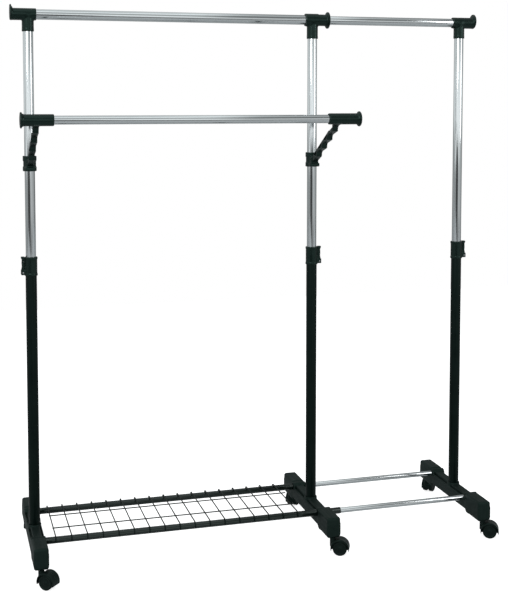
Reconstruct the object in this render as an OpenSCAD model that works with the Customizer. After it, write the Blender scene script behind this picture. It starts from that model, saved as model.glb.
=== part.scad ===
// Rolling clothes rack with a sliding side extension and an adjustable front rail.
// Origin: on the floor, midway between the outer posts. +X to the extension, +Z up.

/* [Overall] */
// Distance between the left and middle posts
main_bay = 847; // [760:1:950]
// Distance between the middle and right posts
extension_bay = 486; // [420:1:540]
// Height of the top rail's axis above the floor
rail_height = 1575; // [1540:1:1620]
// Overall length of each foot, front to back
foot_length = 433; // [420:1:460]
// Half the distance between the two bottom rails
rail_offset = 120; // [115:1:125]
// Height of the bottom rails' axes
bottom_rail_height = 96; // [94:1:97]

/* [Tubes] */
// Outer diameter of the black lower posts
lower_post_d = 32; // [31.9:0.1:32.1]
// Outer diameter of the chrome upper posts
upper_post_d = 29; // [28.8:0.1:29]
// Outer diameter of the main top rail
top_rail_d = 29; // [28.9:0.1:29.2]
// Outer diameter of the top extension rail
extension_rail_d = 26; // [25.6:0.1:26]
// Outer diameter of the front hanging rail
front_rail_d = 24; // [23:0.5:25]
// Outer diameter of the black bottom rails
bottom_rail_d = 19; // [18.8:0.1:19.2]
// Outer diameter of the chrome bottom extension rails
bottom_extension_d = 16; // [15.6:0.1:16]
// Wall thickness of every tube
tube_wall = 1; // [0.8:0.1:1]

/* [Clamp collars] */
// Height of the lower face of the clamp collars
collar_bottom = 832; // [820:1:840]
// Height of one clamp collar
collar_height = 54; // [50:1:56]
// Outer diameter of a clamp collar
collar_d = 37; // [36.5:0.1:38]

/* [Front rail brackets] */
// Height of the lower face of the bracket collars
bracket_bottom = 1132; // [1128:1:1150]
// Height of one bracket collar
bracket_height = 43; // [42:1:48]
// Outer diameter of a bracket collar's rims
bracket_d = 39; // [38:0.5:40]
// Distance the front rail hangs in front of the posts
front_reach = 226; // [210:1:240]
// Height of the front rail's axis
front_rail_height = 1280; // [1270:1:1290]

/* [Shelf] */
// Diameter of the shelf wires
wire_d = 3.6; // [3:0.1:4]
// Number of cross wires in the shelf
cross_wires = 17; // [12:1:20]
// Distance between neighbouring cross wires
wire_pitch = 44.7; // [36:0.1:44.8]

/* [Casters] */
// Diameter of the caster wheels
wheel_d = 42; // [40:1:42]
// Width of one caster wheel
wheel_w = 13; // [11:0.5:13]
// Distance from the swivel axis back to the axle
caster_trail = 22; // [18:0.5:22]

/* [Hidden] */
$fn = 64;
fit = 0.08;
left_x = -(main_bay + extension_bay) / 2;
middle_x = left_x + main_bay;
right_x = -left_x;
grip_flange_d = 43.5;
black = [0.11, 0.13, 0.13];
chrome = [0.80, 0.82, 0.84];
steel = [0.55, 0.56, 0.58];

// Feet
foot_w = 41;
foot_corner = 6;
beam_bottom = 60;
beam_top = 96;
block_bottom = 52;
block_top = 111;
block_inner = 125;
block_corner = 8;
crown_w = 26;
crown_top = 102;
hump_d = 27;
socket_floor = 66;
socket_ring_d = 38;
pocket_w = 33;
pocket_top = 89;
pocket_y = 63;
pocket_l = 78;
end_pocket_y = 157;
end_pocket_l = 38;
groove_w = 3;
groove_l = 82;
groove_depth = 3;
boss_d = 9;
boss_x = 13.5;
boss_y = 22;
boss_top = 101;
screw_d = 6;
screw_head_d = 11;
screw_recess_d = 14;
screw_l = 15;

// Casters
stem_y = foot_length / 2 - 13.5;
stem_d = 8;
stem_top = 88;
axle_d = 5;
hood_d = 55;
hood_w = 35;
hood_inner_d = 50.4;
hood_drop = 3.4;
horn_drop = 7;
web_w = 7;
web_d = 45;
neck_d = 17;
neck_top = 50;
axle_z = wheel_d / 2;
wheel_gap = web_w / 2 + 0.4;
hub_cap = 1.5;
axle_l = 2 * (wheel_gap + wheel_w - hub_cap - 0.3);

// Clamp levers
lever_pin_x = 23;
lever_pin_z = 10;
lever_pin_d = 4;
lever_w = 13;
lever_top = 55;
lever_reach = 28.5;
finger_gap = 3.2;
hollow_r = 22;
hub_d = 10;
ear_t = 3.5;
ear_bottom = 3;
slit_w = 2.4;
slit_bottom = 22;

// Clamp collar profile
collar_rim = 6;
collar_waist = 0.8;
collar_chamfer = 1.5;
collar_seat = 42;

// Posts and rails
lower_post_top = collar_bottom + collar_seat;
post_plug = 7;
glide_plug = 22;
glide_head = 6;
upper_post_bottom = 720;
upper_post_top = rail_height - top_rail_d / 2 - 2;
tee_inboard = 23;
tee_outboard = 50;
flange_t = 5;
tee_wall = 12;
tee_lip_d = 44;
tee_lip_rise = 5.5;
branch_bottom = rail_height - 48;
middle_branch_bottom = rail_height - 56;
tee_d = 34;
middle_tee_d = 38;
bush_start = 18;
bush_d = 35;
bell_d = 50;
bell_rim = 4;
bell_l = 9;
bottom_rail_end = middle_x + 53;
top_extension_start = middle_x - 200;
bottom_extension_start = middle_x - 160;
rail_end = 10;

// Front rail brackets
grip_d = 32;
arm_w = 17;
arm_root = 10;
arm_slope = 0.567;
arm_base_z = bracket_bottom + 24;
tooth_first = 70;
tooth_pitch = 46;
tooth_depth = 24;
tooth_root = 7;
grip_inboard = 47;
grip_outboard = 42;
middle_grip_inboard = 27;
middle_grip_outboard = 68;
lower_rim = 13;
upper_rim = 14;
clamp_reach = 28;
bracket_screw_y = 20;
bracket_screw_z = 22;

// Shelf
shelf_x = left_x + 48;
hook_r = bottom_rail_d / 2 + wire_d / 2;
hook_z = bottom_rail_height + fit;
shelf_z = hook_z + hook_r;
hook_leg = 4;
back_overhang = 5;
long_wire_y = 50;
long_wire_over = 17;

// Swivel angles at rest, in degrees about +Z: front, then back, of each foot
left_swivels = [-40, 62];
middle_swivels = [-25, 50];
right_swivels = [-27, 45];

// How far a caster turned by this angle reaches behind its own stem
function reach_behind(angle) = caster_trail * sin(angle)
    + hood_w / 2 * abs(cos(angle)) + hood_d / 2 * abs(sin(angle));
back_reach = max(foot_length / 2,
    stem_y + max([for (s = [left_swivels, middle_swivels, right_swivels]) reach_behind(s[1])]));
// The posts stand where the whole rack is centred front to back
post_y = (front_reach + grip_flange_d / 2 - back_reach) / 2;

// ---------- shared shapes ----------

module tube(length, d) {
    difference() {
        cylinder(h = length, d = d);
        translate([0, 0, -1]) cylinder(h = length + 2, d = d - 2 * tube_wall);
    }
}

module along_x(x, y, z) {
    translate([x, y, z]) rotate([0, 90, 0]) children();
}

module along_y(x, y, z) {
    translate([x, y, z]) rotate([-90, 0, 0]) children();
}

module box(x0, x1, y0, y1, z0, z1) {
    translate([x0, y0, z0]) cube([x1 - x0, y1 - y0, z1 - z0]);
}

// Rectangle with round corners, centred on the origin
module round_rect(w, l, r) {
    square([w - 2 * r, l], center = true);
    square([w, l - 2 * r], center = true);
    for (sx = [-1, 1], sy = [-1, 1])
        translate([sx * (w / 2 - r), sy * (l / 2 - r)]) circle(r);
}

// Extrudes a side view, drawn as [y, z], across the width w, centred on x = 0
module across(w) {
    translate([-w / 2, 0, 0]) rotate([90, 0, 90]) linear_extrude(w) children();
}

// ---------- feet ----------

module foot_side_view() {
    end = foot_length / 2;
    translate([-end, beam_bottom]) square([foot_length, beam_top - beam_bottom]);
    for (s = [-1, 1]) {
        block_h = block_top - block_bottom;
        block_l = end - block_inner;
        translate([s * (block_inner + end) / 2, block_bottom + block_h / 2]) {
            round_rect(block_l, block_h, block_corner);
            translate([-block_l / 2, 0]) square([block_l, block_h / 2]);
        }
        translate([s * rail_offset, bottom_rail_height]) circle(d = hump_d);
    }
}

module foot_body() {
    intersection() {
        across(foot_w) foot_side_view();
        translate([0, 0, block_bottom - 5])
            linear_extrude(block_top) round_rect(foot_w, foot_length, foot_corner);
    }
    box(-crown_w / 2, crown_w / 2, -rail_offset, rail_offset, beam_top - 2, crown_top);
    translate([0, 0, beam_top - 2]) cylinder(h = crown_top - beam_top + 3, d = socket_ring_d);
    translate([boss_x, boss_y, beam_top - 1]) cylinder(h = boss_top - beam_top + 1, d = boss_d);
}

module foot_pockets() {
    for (s = [-1, 1]) {
        low = block_bottom - 1;
        translate([0, s * pocket_y, low])
            linear_extrude(pocket_top - low) round_rect(pocket_w, pocket_l, 3);
        translate([0, s * end_pocket_y, low])
            linear_extrude(pocket_top - low) round_rect(pocket_w, end_pocket_l, 3);
        for (side = [-1, 1])
            translate([side * (crown_w / 2 + groove_w / 2), s * pocket_y, beam_top])
                cube([groove_w, groove_l, 2 * groove_depth], center = true);
    }
}

// One foot; rails enter it from rail_from to rail_to, measured from its post
module foot(x, rail_d, rail_from, rail_to) {
    color(black) translate([x, post_y, 0]) difference() {
        foot_body();
        foot_pockets();
        translate([0, 0, socket_floor]) cylinder(h = 60, d = lower_post_d);
        translate([0, 0, block_bottom]) cylinder(h = 30, d = screw_d);
        translate([0, 0, block_bottom]) cylinder(h = beam_bottom - block_bottom + 2.5, d = screw_recess_d);
        for (s = [-1, 1]) {
            along_x(rail_from, s * rail_offset, bottom_rail_height)
                cylinder(h = rail_to - rail_from, d = rail_d);
            translate([0, s * stem_y, block_bottom - 1])
                cylinder(h = stem_top - block_bottom + 1.5, d = stem_d + 2 * fit);
        }
    }
}

module foot_screw(x) {
    color(steel) translate([x, post_y, beam_bottom]) {
        cylinder(h = screw_l, d = screw_d);
        translate([0, 0, -1.5]) cylinder(h = 4, d = screw_head_d);
    }
}

module left_foot() { foot(left_x, bottom_rail_d, -rail_end, foot_w); }
module middle_foot() { foot(middle_x, bottom_rail_d, -foot_w, foot_w); }
module right_foot() { foot(right_x, bottom_extension_d, -foot_w, rail_end); }
module foot_screws() { for (x = [left_x, middle_x]) foot_screw(x); }
module right_foot_screw() { foot_screw(right_x); }

// ---------- posts ----------

module lower_post(x) {
    color(black) translate([x, post_y, socket_floor]) {
        tube(lower_post_top - socket_floor, lower_post_d);
        difference() {
            cylinder(h = post_plug, d = lower_post_d - tube_wall);
            translate([0, 0, -1]) cylinder(h = post_plug + 2, d = screw_d);
        }
    }
}

module upper_post(x) {
    color(chrome) translate([x, post_y, upper_post_bottom])
        tube(upper_post_top - upper_post_bottom, upper_post_d);
}

// Plastic plug that guides the foot of an upper post inside its lower post
module post_glide(x) {
    color(black) translate([x, post_y, upper_post_bottom]) {
        cylinder(h = glide_plug, d = upper_post_d - 2 * tube_wall);
        translate([0, 0, -glide_head])
            cylinder(h = glide_head, d = lower_post_d - 2 * tube_wall - 2 * fit);
    }
}

module left_lower_post() { lower_post(left_x); }
module middle_lower_post() { lower_post(middle_x); }
module right_lower_post() { lower_post(right_x); }
module left_upper_post() { upper_post(left_x); }
module middle_upper_post() { upper_post(middle_x); }
module right_upper_post() { upper_post(right_x); }
module upper_post_glides() { for (x = [left_x, middle_x]) post_glide(x); }
module right_post_glide() { post_glide(right_x); }

// ---------- clamp collars and their levers ----------

// Places a clamp part at a post; out is +1 or -1, the side its lever is on
module at_clamp(x, out) {
    translate([x, post_y, collar_bottom])
        if (out > 0) children();
        else mirror([1, 0, 0]) children();
}

module collar_outline() {
    r = collar_d / 2;
    top = collar_height;
    polygon([[0, 0], [r - collar_chamfer, 0], [r, collar_chamfer], [r, collar_rim],
        [r - collar_waist, collar_rim + 1], [r - collar_waist, top - collar_rim - 1],
        [r, top - collar_rim], [r, top - collar_chamfer], [r - collar_chamfer, top], [0, top]]);
}

module clamp_collar(x, out) {
    color(black) at_clamp(x, out) difference() {
        union() {
            rotate_extrude() collar_outline();
            for (s = [-1, 1]) {
                y = s * (lever_w / 2 + 0.4 + ear_t / 2);
                box(collar_d / 4, lever_reach, y - ear_t / 2, y + ear_t / 2,
                    ear_bottom, 2 * lever_pin_z - ear_bottom);
            }
            box(collar_d / 4, collar_d / 2 + finger_gap - 0.2, 1 - lever_w / 2, lever_w / 2 - 1,
                lever_top - 14.7, lever_top - 9.3);
        }
        translate([0, 0, -1]) cylinder(h = lower_post_top - collar_bottom + 1, d = lower_post_d);
        cylinder(h = collar_height + 1, d = upper_post_d + 2 * fit);
        box(collar_d / 4, collar_d, -slit_w / 2, slit_w / 2, slit_bottom, collar_height + 1);
        along_y(lever_pin_x, -20, lever_pin_z) cylinder(h = 40, d = lever_pin_d);
    }
}

// Lever seen from the side as [x, z]: a hub, a hollowed face and a finger tab at the top
module lever_outline() {
    inner = collar_d / 2 + 0.4;
    tab = lever_top - 4;
    difference() {
        polygon([[inner, lever_pin_z], [inner, tab - 12], [inner + finger_gap, tab - 11],
            [inner + finger_gap, tab - 5], [inner, tab - 4], [inner, lever_top], [lever_reach, lever_top],
            [lever_reach, tab], [lever_reach - 2.5, tab - 4], [lever_pin_x + hub_d / 2, lever_pin_z]]);
        translate([lever_reach + hollow_r - 2.5, lever_top / 2]) circle(hollow_r);
    }
    translate([lever_pin_x, lever_pin_z]) circle(d = hub_d);
}

module clamp_lever(x, out) {
    color(black) at_clamp(x, out) difference() {
        translate([0, lever_w / 2, 0]) rotate([90, 0, 0]) linear_extrude(lever_w) lever_outline();
        along_y(lever_pin_x, -20, lever_pin_z) cylinder(h = 40, d = lever_pin_d + 2 * fit);
    }
}

module lever_pin(x, out) {
    pin_l = lever_w + 2 * ear_t + 1.6;
    color(steel) at_clamp(x, out)
        along_y(lever_pin_x, -pin_l / 2, lever_pin_z) cylinder(h = pin_l, d = lever_pin_d);
}

module left_clamp_collar() { clamp_collar(left_x, -1); }
module middle_clamp_collar() { clamp_collar(middle_x, 1); }
module right_clamp_collar() { clamp_collar(right_x, 1); }
module left_clamp_lever() { clamp_lever(left_x, -1); }
module middle_clamp_lever() { clamp_lever(middle_x, 1); }
module right_clamp_lever() { clamp_lever(right_x, 1); }
module main_lever_pins() {
    lever_pin(left_x, -1);
    lever_pin(middle_x, 1);
}
module right_lever_pin() { lever_pin(right_x, 1); }

// ---------- bottom rails and shelf ----------

module bottom_rail(side, x0, x1, d) {
    along_x(x0, post_y + side * rail_offset, bottom_rail_height) tube(x1 - x0, d);
}

module main_bottom_rail(side) {
    color(black) bottom_rail(side, left_x - rail_end, bottom_rail_end, bottom_rail_d);
}

module sliding_bottom_rail(side) {
    color(chrome) bottom_rail(side, bottom_extension_start, right_x + rail_end, bottom_extension_d);
}

module front_bottom_rail() { main_bottom_rail(-1); }
module back_bottom_rail() { main_bottom_rail(1); }
module front_bottom_extension() { sliding_bottom_rail(-1); }
module back_bottom_extension() { sliding_bottom_rail(1); }

// Straight over both rails, bent down beyond each and cut short
module cross_wire() {
    along_y(0, -rail_offset, shelf_z) cylinder(h = 2 * rail_offset + back_overhang, d = wire_d);
    for (end = [0, 1]) mirror([0, 1 - end, 0]) translate([0, rail_offset + end * back_overhang, hook_z]) {
        rotate([90, 0, 90])
            rotate_extrude(angle = 90) translate([hook_r, 0]) circle(d = wire_d);
        translate([0, hook_r, -hook_leg]) cylinder(h = hook_leg, d = wire_d);
    }
}

module wire_shelf() {
    span = (cross_wires - 1) * wire_pitch;
    color(black) translate([shelf_x, post_y, 0]) {
        for (i = [0 : cross_wires - 1]) translate([i * wire_pitch, 0, 0]) cross_wire();
        for (y = [-long_wire_y, long_wire_y])
            along_x(-2, y, shelf_z - wire_d + 0.3) cylinder(h = span + 2 + long_wire_over, d = wire_d);
    }
}

// ---------- top frame ----------

module tee_flange(x) {
    along_x(x, 0, rail_height + tee_lip_rise) cylinder(h = flange_t, d = tee_lip_d);
}

// Tee on a post; out is the side that its closed, flanged end faces
module end_tee(x, out, rail_d) {
    color(black) translate([x, post_y, 0]) difference() {
        union() {
            along_x(out > 0 ? -tee_inboard : -tee_outboard + flange_t, 0, rail_height)
                cylinder(h = tee_inboard + tee_outboard - flange_t, d = tee_d);
            tee_flange(out > 0 ? tee_outboard - flange_t : -tee_outboard);
            translate([0, 0, branch_bottom]) cylinder(h = rail_height - branch_bottom, d = tee_d);
        }
        along_x(out > 0 ? -tee_inboard - 1 : -tee_outboard + tee_wall, 0, rail_height)
            cylinder(h = tee_inboard + tee_outboard - tee_wall + 1, d = rail_d);
        translate([0, 0, branch_bottom - 1])
            cylinder(h = upper_post_top - branch_bottom + 1, d = upper_post_d);
    }
}

module left_tee() { end_tee(left_x, -1, top_rail_d); }
module right_tee() { end_tee(right_x, 1, extension_rail_d); }

module middle_tee() {
    color(black) translate([middle_x, post_y, 0]) difference() {
        union() {
            along_x(-tee_inboard, 0, rail_height)
                cylinder(h = tee_inboard + bush_start, d = middle_tee_d);
            translate([0, 0, middle_branch_bottom])
                cylinder(h = rail_height - middle_branch_bottom, d = tee_d);
        }
        along_x(-tee_inboard - 1, 0, rail_height)
            cylinder(h = tee_inboard + bush_start + 2, d = top_rail_d);
        translate([0, 0, middle_branch_bottom - 1])
            cylinder(h = upper_post_top - middle_branch_bottom + 1, d = upper_post_d);
    }
}

// Flanged bush that guides the top extension rail out of the middle tee
module extension_bush() {
    length = tee_outboard - bush_start;
    bore = extension_rail_d + 2 * fit;
    color(black) along_x(middle_x + bush_start, post_y, rail_height) difference() {
        union() {
            rotate_extrude() polygon([[0, 0], [bush_d / 2, 0], [bush_d / 2, length - bell_l],
                [bell_d / 2, length - bell_rim], [bell_d / 2, length], [0, length]]);
        }
        translate([0, 0, -1]) cylinder(h = length + 2, d = bore);
    }
}

module top_rail() {
    color(chrome) along_x(left_x - tee_outboard + tee_wall, post_y, rail_height)
        tube(main_bay + tee_outboard - tee_wall + bush_start, top_rail_d);
}

module top_extension_rail() {
    color(chrome) along_x(top_extension_start, post_y, rail_height)
        tube(right_x + tee_outboard - tee_wall - top_extension_start, extension_rail_d);
}

// ---------- front rail ----------

// Toothed arm seen from the side as [distance in front of the post, z]
module arm_outline() {
    function upper(u) = arm_base_z + arm_slope * (u - arm_root);
    teeth = [for (k = [0 : 3]) let (u = tooth_first + k * tooth_pitch)
        each [[u, upper(u) - tooth_depth], [u + 1, upper(u) - 2 * tooth_root],
            [u + tooth_root, upper(u) - tooth_root]]];
    polygon(concat([[arm_root, arm_base_z], [arm_root, bracket_bottom + 8]], teeth,
        [[front_reach + 13, front_rail_height - 12], [front_reach, front_rail_height],
         [front_reach - 13, front_rail_height - 12]]));
}

// Bracket seen with its arm along +Y; grip_from and grip_to bound the grip along X
module bracket(grip_from, grip_to, flange_from) {
    screw_z = bracket_bottom + bracket_screw_z;
    difference() {
        union() {
            translate([0, 0, bracket_bottom]) {
                cylinder(h = lower_rim, d = bracket_d);
                cylinder(h = bracket_height, d = bracket_d - 3);
                translate([0, 0, bracket_height - upper_rim]) cylinder(h = upper_rim, d = bracket_d);
            }
            box(-15, 15, 0, clamp_reach + 2, bracket_bottom + 1, bracket_bottom + lower_rim - 1);
            box(-12, 12, 0, clamp_reach, bracket_bottom + 2, bracket_bottom + 30);
            across(arm_w) arm_outline();
            along_x(grip_from, front_reach, front_rail_height) cylinder(h = grip_to - grip_from, d = grip_d);
            along_x(flange_from, front_reach, front_rail_height) cylinder(h = flange_t, d = grip_flange_d);
        }
        translate([0, 0, bracket_bottom - 1]) cylinder(h = bracket_height + 2, d = upper_post_d + 2 * fit);
        along_x(grip_from + (flange_from > 0 ? -1 : tee_wall), front_reach, front_rail_height)
            cylinder(h = grip_to - grip_from - tee_wall + 1, d = front_rail_d);
        along_x(9, bracket_screw_y, screw_z) cylinder(h = 10, d = 9);
        along_x(-10, bracket_screw_y, screw_z) cylinder(h = 30, d = 4);
    }
}

module place_bracket(x) {
    color(black) translate([x, post_y, 0]) mirror([0, 1, 0]) children();
}

module left_bracket() {
    place_bracket(left_x) bracket(-grip_outboard, grip_inboard, -grip_outboard);
}
module middle_bracket() {
    place_bracket(middle_x) bracket(-middle_grip_inboard, middle_grip_outboard,
        middle_grip_outboard - flange_t);
}

module bracket_screws() {
    for (x = [left_x, middle_x])
        color(steel) along_x(x, post_y - bracket_screw_y, bracket_bottom + bracket_screw_z) {
            translate([0, 0, -10]) cylinder(h = 20, d = 4);
            translate([0, 0, 9]) cylinder(h = 2.5, d = 8.6);
        }
}

module front_rail() {
    start = left_x - grip_outboard + tee_wall;
    end = middle_x + middle_grip_outboard - tee_wall;
    color(chrome) along_x(start, post_y - front_reach, front_rail_height) tube(end - start, front_rail_d);
}

// ---------- casters ----------

// Places a caster at a foot: side is -1 in front and +1 behind, turned by angle about its stem
module at_caster(x, side, angle) {
    translate([x, post_y + side * stem_y, 0]) rotate(angle) children();
}

module hood_outline() {
    difference() {
        circle(d = hood_d);
        translate([0, -hood_drop]) circle(d = hood_inner_d);
        translate([-hood_d, -horn_drop - hood_d]) square([2 * hood_d, hood_d]);
    }
}

// Wall between the two wheels
module web_outline() {
    difference() {
        circle(d = web_d);
        translate([-web_d, -horn_drop - web_d]) square([2 * web_d, web_d]);
    }
}

module caster_housing(x, side, angle) {
    color(black) at_caster(x, side, angle) difference() {
        union() {
            translate([caster_trail, hood_w / 2, axle_z]) rotate([90, 0, 0])
                linear_extrude(hood_w) hood_outline();
            translate([caster_trail, web_w / 2, axle_z]) rotate([90, 0, 0])
                linear_extrude(web_w) web_outline();
            intersection() {
                translate([0, 0, axle_z]) cylinder(h = neck_top - axle_z, d = neck_d);
                difference() {
                    translate([0, 0, axle_z - 1]) cylinder(h = neck_top, d = neck_d);
                    for (s = [-1, 1])
                        along_y(caster_trail, s > 0 ? web_w / 2 : -web_w / 2 - 30, axle_z)
                            cylinder(h = 30, d = wheel_d + 1.4);
                }
            }
        }
        translate([0, 0, axle_z + 6]) cylinder(h = 40, d = stem_d);
        along_y(caster_trail, -hood_w, axle_z) cylinder(h = 2 * hood_w, d = axle_d);
    }
}

module caster_pins(x, side, angle) {
    color(steel) at_caster(x, side, angle) {
        translate([0, 0, axle_z + 6]) cylinder(h = stem_top - axle_z - 6, d = stem_d);
        along_y(caster_trail, -axle_l / 2, axle_z) cylinder(h = axle_l, d = axle_d);
    }
}

module caster_wheel() {
    difference() {
        rotate_extrude() polygon([[0, 0], [wheel_d / 2 - 1.5, 0], [wheel_d / 2, 1.5],
            [wheel_d / 2, wheel_w - 2], [wheel_d / 2 - 2, wheel_w], [15, wheel_w],
            [14, wheel_w - 1.5], [5, wheel_w - 1.5], [4.5, wheel_w], [0, wheel_w]]);
        translate([0, 0, -1]) cylinder(h = wheel_w + 1 - hub_cap, d = axle_d + 2 * fit);
    }
}

module caster_wheels(x, side, angle) {
    color(black) at_caster(x, side, angle) translate([caster_trail, 0, axle_z]) {
        rotate([-90, 0, 0]) translate([0, 0, wheel_gap]) caster_wheel();
        rotate([90, 0, 0]) translate([0, 0, wheel_gap]) caster_wheel();
    }
}

module left_front_caster_housing() { caster_housing(left_x, -1, left_swivels[0]); }
module left_front_caster_pins() { caster_pins(left_x, -1, left_swivels[0]); }
module left_front_caster_wheels() { caster_wheels(left_x, -1, left_swivels[0]); }
module left_back_caster_housing() { caster_housing(left_x, 1, left_swivels[1]); }
module left_back_caster_pins() { caster_pins(left_x, 1, left_swivels[1]); }
module left_back_caster_wheels() { caster_wheels(left_x, 1, left_swivels[1]); }
module middle_front_caster_housing() { caster_housing(middle_x, -1, middle_swivels[0]); }
module middle_front_caster_pins() { caster_pins(middle_x, -1, middle_swivels[0]); }
module middle_front_caster_wheels() { caster_wheels(middle_x, -1, middle_swivels[0]); }
module middle_back_caster_housing() { caster_housing(middle_x, 1, middle_swivels[1]); }
module middle_back_caster_pins() { caster_pins(middle_x, 1, middle_swivels[1]); }
module middle_back_caster_wheels() { caster_wheels(middle_x, 1, middle_swivels[1]); }
module right_front_caster_housing() { caster_housing(right_x, -1, right_swivels[0]); }
module right_front_caster_pins() { caster_pins(right_x, -1, right_swivels[0]); }
module right_front_caster_wheels() { caster_wheels(right_x, -1, right_swivels[0]); }
module right_back_caster_housing() { caster_housing(right_x, 1, right_swivels[1]); }
module right_back_caster_pins() { caster_pins(right_x, 1, right_swivels[1]); }
module right_back_caster_wheels() { caster_wheels(right_x, 1, right_swivels[1]); }

left_foot();
middle_foot();
right_foot();
left_lower_post();
middle_lower_post();
right_lower_post();
left_upper_post();
middle_upper_post();
right_upper_post();
left_clamp_collar();
middle_clamp_collar();
right_clamp_collar();
left_clamp_lever();
middle_clamp_lever();
right_clamp_lever();
main_lever_pins();
right_lever_pin();
upper_post_glides();
right_post_glide();
foot_screws();
right_foot_screw();
front_bottom_rail();
back_bottom_rail();
front_bottom_extension();
back_bottom_extension();
wire_shelf();
left_tee();
middle_tee();
right_tee();
extension_bush();
top_rail();
top_extension_rail();
left_bracket();
middle_bracket();
bracket_screws();
front_rail();
left_front_caster_housing();
left_front_caster_pins();
left_front_caster_wheels();
left_back_caster_housing();
left_back_caster_pins();
left_back_caster_wheels();
middle_front_caster_housing();
middle_front_caster_pins();
middle_front_caster_wheels();
middle_back_caster_housing();
middle_back_caster_pins();
middle_back_caster_wheels();
right_front_caster_housing();
right_front_caster_pins();
right_front_caster_wheels();
right_back_caster_housing();
right_back_caster_pins();
right_back_caster_wheels();
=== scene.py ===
"""Rolling clothes rack with a slide-out side extension: detailed pieces and materials on the CAD frame."""
import math

import bmesh
import bpy
import numpy as np
import openvdb as vdb
from mathutils import Matrix, Vector


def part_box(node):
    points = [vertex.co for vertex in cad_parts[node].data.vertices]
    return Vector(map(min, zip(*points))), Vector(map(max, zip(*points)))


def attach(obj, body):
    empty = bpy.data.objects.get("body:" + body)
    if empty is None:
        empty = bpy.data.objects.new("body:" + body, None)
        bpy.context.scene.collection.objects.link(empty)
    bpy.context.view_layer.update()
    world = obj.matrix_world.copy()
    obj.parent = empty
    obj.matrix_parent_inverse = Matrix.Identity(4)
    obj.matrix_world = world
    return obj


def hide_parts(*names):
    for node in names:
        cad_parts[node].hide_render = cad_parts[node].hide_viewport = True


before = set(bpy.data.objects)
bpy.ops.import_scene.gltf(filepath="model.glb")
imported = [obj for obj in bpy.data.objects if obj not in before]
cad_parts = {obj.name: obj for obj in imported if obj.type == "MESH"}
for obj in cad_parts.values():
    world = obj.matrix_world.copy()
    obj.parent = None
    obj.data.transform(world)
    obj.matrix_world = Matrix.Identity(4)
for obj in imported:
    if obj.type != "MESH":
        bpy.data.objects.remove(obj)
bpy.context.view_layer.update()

MM = 0.001
SIDES = ("left", "middle", "right")
ENDS = ("front", "back")


# ---------------------------------------------------------------- places, all read from the frame

def low_high(node):
    """A CAD node's box in millimetres."""
    low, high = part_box(node)
    return np.array(low) / MM, np.array(high) / MM


def middle_of(node):
    low, high = low_high(node)
    return (low + high) / 2


POST = {side: middle_of(side + "_lower_post") for side in SIDES}
POST_Y = POST["left"][1]
FOOT_BODY = {"left": "base", "middle": "base", "right": "extension_base"}
LEVER_SIDE = {"left": -1, "middle": 1, "right": 1}


# ---------------------------------------------------------------- signed distance shapes, in millimetres

class Field:
    """A block of space cut into small cubes, in which solids are unions and cuts of distances."""

    def __init__(self, low, high, step):
        self.low = np.array(low, dtype=np.float32) - 3 * step
        high = np.array(high, dtype=np.float32) + 3 * step
        self.step = step
        counts = np.ceil((high - self.low) / step).astype(int) + 1
        ends = [self.low[i] + step * np.arange(counts[i], dtype=np.float32) for i in range(3)]
        self.x = ends[0][:, None, None]
        self.y = ends[1][None, :, None]
        self.z = ends[2][None, None, :]

    def axes(self, along):
        """(distance along an axis, the two across it)."""
        x, y, z = self.x, self.y, self.z
        return {"x": (x, y, z), "y": (y, z, x), "z": (z, x, y)}[along]

    def box(self, low, high, r=1.0):
        """A box with edges rounded to the radius r."""
        low, high = np.array(low, float), np.array(high, float)
        centre, half = (low + high) / 2, (high - low) / 2 - r
        qx = np.abs(self.x - centre[0]) - half[0]
        qy = np.abs(self.y - centre[1]) - half[1]
        qz = np.abs(self.z - centre[2]) - half[2]
        outside = np.sqrt(np.maximum(qx, 0) ** 2 + np.maximum(qy, 0) ** 2 + np.maximum(qz, 0) ** 2)
        return outside + np.minimum(np.maximum(qx, np.maximum(qy, qz)), 0) - r

    def rod(self, along, centre, radius, start, end, r=1.0):
        """A cylinder along an axis; centre is its two other coordinates in X, Y, Z order."""
        t, u, v = self.axes(along)
        cu, cv = centre if along != "y" else (centre[1], centre[0])
        across = np.sqrt((u - cu) ** 2 + (v - cv) ** 2) - (radius - r)
        length = np.abs(t - (start + end) / 2) - (abs(end - start) / 2 - r)
        outside = np.sqrt(np.maximum(across, 0) ** 2 + np.maximum(length, 0) ** 2)
        return outside + np.minimum(np.maximum(across, length), 0) - r

    def plate(self, along, outline, start, end, r=0.8, origin=(0.0, 0.0)):
        """A flat outline, in the plane across an axis, given as points in X, Y, Z order, made thick."""
        t, u, v = self.axes(along)
        if along == "y":
            u, v = v, u
        flat = polygon_distance(np.array(outline, float) + np.array(origin), u, v) + r
        length = np.abs(t - (start + end) / 2) - ((end - start) / 2 - r)
        outside = np.sqrt(np.maximum(flat, 0) ** 2 + np.maximum(length, 0) ** 2)
        return outside + np.minimum(np.maximum(flat, length), 0) - r

    def mesh(self, name, distance, merge=0.0):
        """The surface where the distance is zero, as a smooth mesh in metres."""
        band = 3.0
        grid = vdb.FloatGrid(band)
        grid.copyFromArray(np.clip(distance / self.step, -band, band).astype(np.float32))
        grid.gridClass = vdb.GridClass.LEVEL_SET
        points, triangles, quads = grid.convertToPolygons(isovalue=0.0, adaptivity=merge)
        verts = (points * self.step + self.low) * MM
        faces = [tuple(int(i) for i in face[::-1]) for group in (triangles, quads) for face in group]
        return smooth_mesh(name, verts, faces)


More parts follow.
